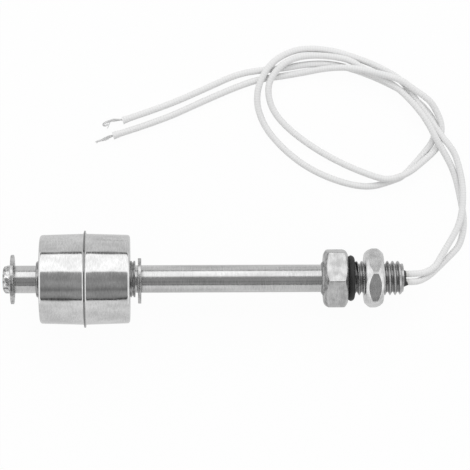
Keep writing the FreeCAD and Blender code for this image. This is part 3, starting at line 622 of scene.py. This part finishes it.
hexagon_steel, tree, shader, place, tone = steel_finish(
    "drawn_and_turned_hexagon", "#b0b0b0", "#d6d6d6", roughness=0.27, spread=0.06,
    lines=((4.0, 0.5, 0.5), 4e-6), waves=((0.4, 0.5, 0.5), 4.5e-6),
)
# painted shade darkens the roots of the thread and the undercut (r under 4.95 mm, from the sealing
# face to the end chamfer), and the weld behind the hexagon is darkened by its soot
along_stem = add_node(tree, "SeparateXYZ", {0: place}).outputs[0]
across = add_node(tree, "VectorMath", {0: place, 1: (0.0, 1.0, 1.0)}, operation="MULTIPLY")
radius = add_node(tree, "VectorMath", {0: across.outputs[0]}, operation="LENGTH").outputs["Value"]
threaded = reckon(
    tree, "MULTIPLY", between(tree, along_stem, -0.3, 0.0), between(tree, along_stem, 15.7, 15.2)
)
on_weld = between(tree, along_stem, -6.95, -7.15, 0.0, 0.9)
# painted shade in the thread's roots and undercut, plus the weld's soot
root_shade_plus_weld_tarnish = reckon(tree, "MULTIPLY_ADD", threaded, between(tree, radius, 4.95, 4.5), on_weld)
tone_with_root_shade_and_tarnish = mixed(tree, tone, linear("#a8a8a8"), root_shade_plus_weld_tarnish)
# the weld's heat leaves grey patches behind the hexagon and on its back chamfer, the cone where
# slope (r - circle) - (u + length) is nought
cone = reckon(
    tree, "MULTIPLY_ADD", radius, HEX_SLOPE, -HEX_SLOPE * HEX_CIRCLE_MM - HEX_LENGTH_MM
)
on_cone = between(tree, reckon(tree, "SUBTRACT", cone, along_stem), -0.12, -0.03)
on_cone = reckon(tree, "MULTIPLY", on_cone, between(tree, along_stem, -5.3, -5.8))
behind = between(tree, along_stem, -HEX_LENGTH_MM + 0.02, -HEX_LENGTH_MM - 0.02)
patches = between(tree, streaks(tree, place, (0.5, 0.8, 0.8)), 0.38, 0.6, 0.25, 0.9)
heat = reckon(tree, "MULTIPLY", reckon(tree, "MAXIMUM", on_cone, behind), patches)
feed(tree, shader.inputs["Base Color"], mixed(tree, tone_with_root_shade_and_tarnish, linear("#828282"), heat))

angle, reach = hexagon_columns(HEX_TURN, worn=0.8)
weld_wave = 0.04 * np.sin(17 * angle) + 0.03 * np.sin(29 * angle + 1)
body_skin = rings(angle, [
    (0.0, UNDERCUT_RADIUS_MM), (0.0, 6.2),
    *chamfered_end(0.0, -1, HEX_CIRCLE_MM, HEX_SLOPE, reach),
    *chamfered_end(-HEX_LENGTH_MM, 1, HEX_CIRCLE_MM, HEX_SLOPE, reach)[::-1],
    (-6.9, 5.2), (-6.98, 4.98 + weld_wave), (-7.2, 4.86 + weld_wave), (-7.45, 4.62 + weld_wave),
    (-7.66, 4.25), (-7.72, 4.03), (-1.4, 4.03), (-1.4, 3.1), (16.05, 3.1),
    (STUD_MM, 3.25), (STUD_MM, STUD_END_RADIUS_MM),
])
undercut = rings(angle, [(0.0, UNDERCUT_RADIUS_MM), (UNDERCUT_MM, UNDERCUT_RADIUS_MM)])
# the thread: each ring runs one pitch forward in one turn round, and starts out of the undercut
rows = np.array([(k + phase, radius) for k in range(-1, 11) for phase, radius in THREAD_MM])
u = CREST_MM + PITCH_MM * (rows[:, :1] + angle[None] / (2 * np.pi))
u = np.clip(u, UNDERCUT_MM, STUD_MM)
outer = np.interp(
    u, [UNDERCUT_MM, 2.2, 15.1, 15.3, STUD_MM],
    [UNDERCUT_RADIUS_MM, 5.0, 5.0, 4.9, STUD_END_RADIUS_MM],
)
run_in = np.clip((u - UNDERCUT_MM) / 0.8, 0, 1)
r = outer - np.maximum(outer - rows[:, 1:], 0) * run_in
r = np.where(u >= STUD_MM, STUD_END_RADIUS_MM, r)
thread = on_stem(u, r * np.cos(angle), r * np.sin(angle))
fitting_skins = [(body_skin, 0), (undercut, 0), (thread, len(THREAD_MM))]
fitting = make_piece("hexagon_and_threaded_stud", fitting_skins, hexagon_steel, "stem", sharp=25)
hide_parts("hex_fitting")


# O-ring: black nitrile rubber, 2 mm thick, in the undercut against the sealing face.

SEAL_MM, SEAL_RADIUS_MM, SECTION_RADIUS_MM = 1.03, 5.63, 1.0
nitrile, tree, shader = new_finish(
    "black_nitrile_rubber", "#1b1b1b", metallic=0.0, roughness=0.55
)
dust = streaks(tree, stem_mm(tree), (2.5, 2.5, 2.5), detail=5.0)
tint(tree, shader, "#141414", "#303030", dust)
raise_skin(tree, shader, dust, strength=0.6, distance=3e-5)
section = np.linspace(0, 2 * np.pi, 33)
seal_u = SEAL_MM + SECTION_RADIUS_MM * np.cos(section)
seal_r = SEAL_RADIUS_MM + SECTION_RADIUS_MM * np.sin(section)
# moulding flash: a fine raised line round its outside
seal_r = (seal_r + 0.05 * np.exp(-(((section - np.pi / 2) / 0.09) ** 2)))[:, None]
circle = np.linspace(0, 2 * np.pi, 96, endpoint=False)
seal_skin = on_stem(seal_u[:, None], seal_r * np.cos(circle), seal_r * np.sin(circle))
seal = make_piece("o_ring_rubber", [(seal_skin, 0)], nitrile, "stem")
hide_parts("o_ring_seal")


# Lock nut: 16 mm across flats and 5.3 mm thick, turned off at 46 degrees on both faces.

NUT_TURN, NUT_FACES_MM, NUT_CIRCLE_MM = -9.7, (5.0, 10.3), 7.3
NUT_SLOPE = math.tan(math.radians(46))
nut_steel = steel_finish(
    "drawn_and_turned_nut", "#cccccc", "#eeeeee", roughness=0.24, spread=0.05,
    lines=((5.0, 0.6, 0.6), 3e-6), waves=((0.3, 0.5, 0.5), 1.0e-5),
)[0]
angle, reach = hexagon_columns(NUT_TURN, worn=2.0)
inner, outer = NUT_FACES_MM
nut_skin = rings(angle, [
    (5.6, 5.05), (inner, 5.65),
    *chamfered_end(inner, 1, NUT_CIRCLE_MM, NUT_SLOPE, reach),
    *chamfered_end(outer, -1, NUT_CIRCLE_MM, NUT_SLOPE, reach)[::-1],
    (outer, 5.65), (9.7, 5.05), (5.6, 5.05),
])
nut = make_piece("lock_nut_turned", [(nut_skin, 0)], nut_steel, "lock_nut", sharp=20)
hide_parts("lock_nut")


# Potting: black epoxy that fills the stud's bore and creeps up round the leads.

BORE_MM, BORE_RADIUS_MM = (5.8, 16.05), 3.05
# the crown from the bore's edge to the axis
CROWN_MM = [
    (16.05, 3.05), (16.12, 2.8), (16.3, 2.45), (16.6, 2.25),
    (16.85, 2.05), (17.0, 1.6), (17.05, 0.8), (17.05, 0.0),
]
epoxy, tree, shader = new_finish("black_cast_epoxy", "#0d0d0d", metallic=0.0, roughness=0.22)
pits = streaks(tree, stem_mm(tree), (1.3, 1.3, 1.3))
raise_skin(tree, shader, pits, strength=0.6, distance=6e-5)
angle = np.linspace(0, 2 * np.pi, 72, endpoint=False)
crown_u, crown_r = np.array(CROWN_MM).T[:, :, None]
v, w = crown_r * np.cos(angle), crown_r * np.sin(angle)
# a wet edge climbs each lead, more on the outer side of one
climb = 0.45 * np.exp(-(((v - 1.15) ** 2 + w**2) / 1.2))
climb = climb + 1.1 * np.exp(-(((v + 1.7) ** 2 + (w - 0.2) ** 2) / 0.9))
top = on_stem(crown_u + climb * (crown_r < 2.6), v, w)
side_u = np.array([[BORE_MM[0]], [BORE_MM[0]], [BORE_MM[1]]])
side_r = np.array([[0.0], [BORE_RADIUS_MM], [BORE_RADIUS_MM]])
side = on_stem(side_u, side_r * np.cos(angle), side_r * np.sin(angle))
potting = make_piece("potting_resin_crown", [(side, 0), (top, 0)], epoxy, "stem", sharp=50)
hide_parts("potting_plug")


# Inside pieces, sealed in the float and the stem: the solids keep their shape and get their finish.

ferrite, tree, shader = new_finish("ground_ferrite", "#3a3a3c", metallic=0.0, roughness=0.48)
grain = streaks(tree, stem_mm(tree), (6.0, 6.0, 6.0), detail=6.0)
tint(tree, shader, "#2a2a2c", "#4a4a4c", grain)

acetal, tree, shader = new_finish("moulded_acetal", "#50504e", metallic=0.0, roughness=0.42)
grain = streaks(tree, stem_mm(tree), (3.0, 3.0, 3.0), detail=2.0)
raise_skin(tree, shader, grain, strength=0.3, distance=1e-5)

capsule_glass, tree, shader = new_finish(
    "soda_glass", "#d6e6da", metallic=0.0, roughness=0.03, **{"Transmission Weight": 0.9}
)
seeds = streaks(tree, stem_mm(tree), (1.0, 4.0, 4.0), detail=2.0)
raise_skin(tree, shader, seeds, strength=0.2, distance=1e-5)

blade_alloy = steel_finish(
    "plated_reed_alloy", "#b8b6ae", "#d4d2c8", roughness=0.22, spread=0.05,
    lines=((4.0, 4.0, 4.0), 2e-6), waves=((0.6, 0.6, 0.6), 4e-6),
)[0]

shrink, tree, shader = new_finish("shrunk_polyolefin", "#dededa", metallic=0.0, roughness=0.38)
creases = streaks(tree, stem_mm(tree), (2.0, 0.4, 0.4))
raise_skin(tree, shader, creases, strength=0.4, distance=3e-5)

silicone, tree, shader = new_finish("white_silicone", "#ecece9", metallic=0.0, roughness=0.55)
bloom = streaks(tree, stem_mm(tree), (1.5, 3.0, 3.0))
tint(tree, shader, "#e0e0dd", "#f2f2f0", bloom)

for finish, names in (
    (ferrite, ["ring_magnet"]),
    (acetal, ["magnet_carrier"]),
    (capsule_glass, ["reed_glass"]),
    (blade_alloy, ["reed_blade_lower", "reed_blade_upper"]),
    (shrink, ["reed_sleeve"]),
    (silicone, ["lead_a_inner", "lead_b_inner"]),
    (tinned, ["splice_upper", "splice_lower", "return_conductor"]),
):
    for name in names:
        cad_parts[name].material_slots[0].material = finish


# Studio: a white table under a broad soft light from the leads' side. What shiny metal sees is a
# dark ceiling between a white panel on that side and a grey room on the other.

TABLE, TABLE_HALF = -0.009579, 1.5
TABLE_GLOW, GLOW_IN_METAL = 0.95, 0.72  # the share of its white that is its own, and as mirrored
LAMP_SIDE, LAMP_HEIGHT = 0.70, 0.72
# degrees from straight up, towards the leads' side, with the light seen there
ROOM = [
    (-180, 0.66), (-90, 0.76), (-57, 0.80), (-54.5, 0.03), (-51.5, 0.03), (-49.5, 0.25),
    (-41, 0.34), (-33, 0.30), (-27, 0.19), (-18, 0.30), (-10, 0.34), (0, 0.29), (10, 0.32),
    (17.8, 0.38), (20.2, 1.30), (66, 1.34), (69, 0.10), (72, 0.12), (76, 0.68), (100, 0.72),
    (180, 0.66),
]
END_LIGHT = 1.2  # past both ends of the switch, where the room is white
FILL_LIGHT = 0.72  # on all that isn't a mirror

table = bpy.data.meshes.new("table")
square = [(x * TABLE_HALF, y * TABLE_HALF, TABLE) for x, y in ((-1, -1), (1, -1), (1, 1), (-1, 1))]
table.from_pydata(square, [], [[0, 1, 2, 3]])
white = bpy.data.materials.new("white_table")
white.use_nodes = True
tree = white.node_tree
tree.nodes.clear()
rays = add_node(tree, "LightPath").outputs
matte = add_node(tree, "BsdfDiffuse", {"Color": linear("#f4f4f4")})
strength = between(tree, rays["Is Glossy Ray"], 0.0, 1.0, 1.0, GLOW_IN_METAL)
glow = add_node(tree, "Emission", {"Strength": strength})
seen = reckon(tree, "ADD", rays["Is Camera Ray"], rays["Is Glossy Ray"])
through = reckon(tree, "ADD", seen, rays["Is Transmission Ray"], use_clamp=True)
share = reckon(tree, "MULTIPLY", through, TABLE_GLOW)
blend = add_node(tree, "MixShader", {0: share, 1: matte.outputs[0], 2: glow.outputs[0]})
add_node(tree, "OutputMaterial", {"Surface": blend.outputs[0]})
table.materials.append(white)
floor = bpy.data.objects.new("table", table)
scene.collection.objects.link(floor)

panel = bpy.data.lights.new("soft_panel", "AREA")
panel.shape = "RECTANGLE"
panel.size, panel.size_y = 1.4, 0.7
panel.energy = 3.6
lamp = bpy.data.objects.new("soft_panel", panel)
lamp.location = (0.0, LAMP_SIDE, LAMP_HEIGHT)
lamp.rotation_euler = (-math.atan2(LAMP_SIDE, LAMP_HEIGHT), 0.0, 0.0)
lamp.visible_glossy = False
scene.collection.objects.link(lamp)

world = bpy.data.worlds.new("studio")
scene.world = world
world.use_nodes = True
tree = world.node_tree
tree.nodes.clear()
way = add_node(tree, "TexCoord").outputs["Generated"]
x, y, z = add_node(tree, "SeparateXYZ", {0: way}).outputs
turn = between(tree, reckon(tree, "ARCTAN2", y, z), -math.pi, math.pi)
bands = add_node(tree, "ValToRGB", {"Fac": turn})
ramp = bands.color_ramp
while len(ramp.elements) < len(ROOM):
    ramp.elements.new(0.5)
for element, (degrees, light) in zip(ramp.elements, ROOM):
    element.position = (degrees + 180) / 360
    element.color = (light, light, light, 1.0)
ends = between(tree, reckon(tree, "ABSOLUTE", x), 0.5, 0.7)
around = mixed(tree, bands.outputs["Color"], (END_LIGHT, END_LIGHT, END_LIGHT, 1.0), ends)
rays = add_node(tree, "LightPath").outputs
fill = (FILL_LIGHT, FILL_LIGHT, FILL_LIGHT, 1.0)
mirrored = mixed(tree, fill, around, rays["Is Glossy Ray"])
shown = reckon(tree, "ADD", rays["Is Camera Ray"], rays["Is Transmission Ray"], use_clamp=True)
final = mixed(tree, mirrored, (1.0, 1.0, 1.0, 1.0), shown)
sky = add_node(tree, "Background", {"Color": final})
add_node(tree, "OutputWorld", {"Surface": sky.outputs[0]})

scene.view_settings.view_transform = "Standard"
